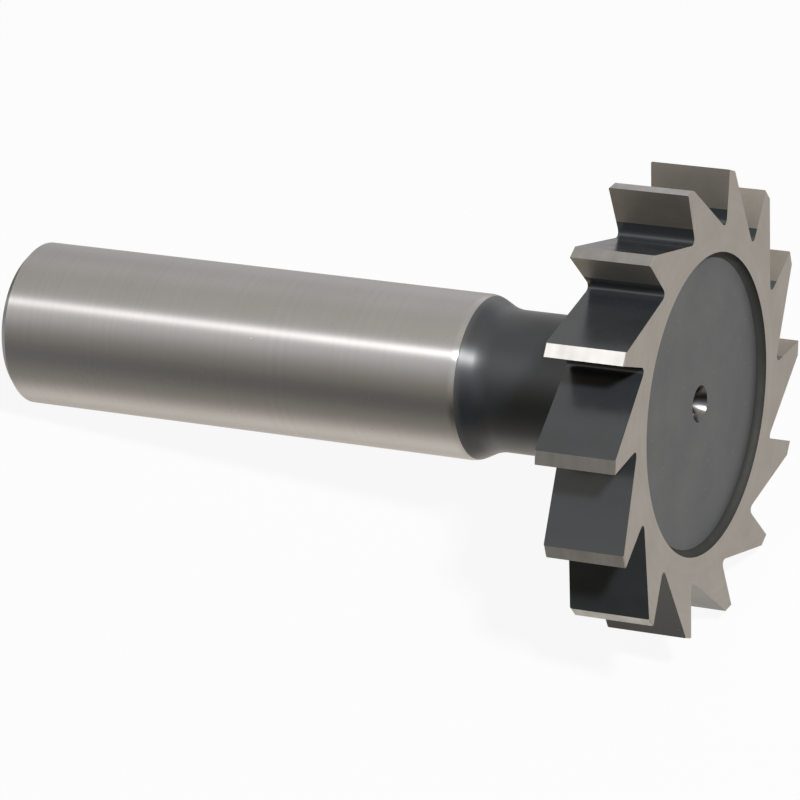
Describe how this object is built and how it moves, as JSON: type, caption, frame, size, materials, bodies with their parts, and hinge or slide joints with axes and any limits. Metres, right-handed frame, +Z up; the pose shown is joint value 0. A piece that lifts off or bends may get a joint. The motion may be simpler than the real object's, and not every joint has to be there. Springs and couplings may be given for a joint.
{
  "type": "woodruff keyseat cutter",
  "caption": "Half-moon keyseat milling cutter: a straight cylindrical shank, a necked section and a thin round head with straight teeth, lying on its side.",
  "frame": {"origin": "on the surface that the tool lies on, below the middle of its bounding box", "axes": "+Z up, +X along the lying tool from the free end of the shank to the cutting face, +Y across it; the tool's own axis rises 12.10 degrees towards +X, because it lies on two teeth and the end of the shank"},
  "size_m": [0.061, 0.035, 0.0349],
  "materials": {
    "cutter_steel": "ground bright on the shank, lands, rake faces and sides of the head, black oxide on the neck, tooth backs and recess"
  },
  "bodies": {
    "root": {"keyseat_cutter": "cutter_steel"}
  },
  "joints": []
}
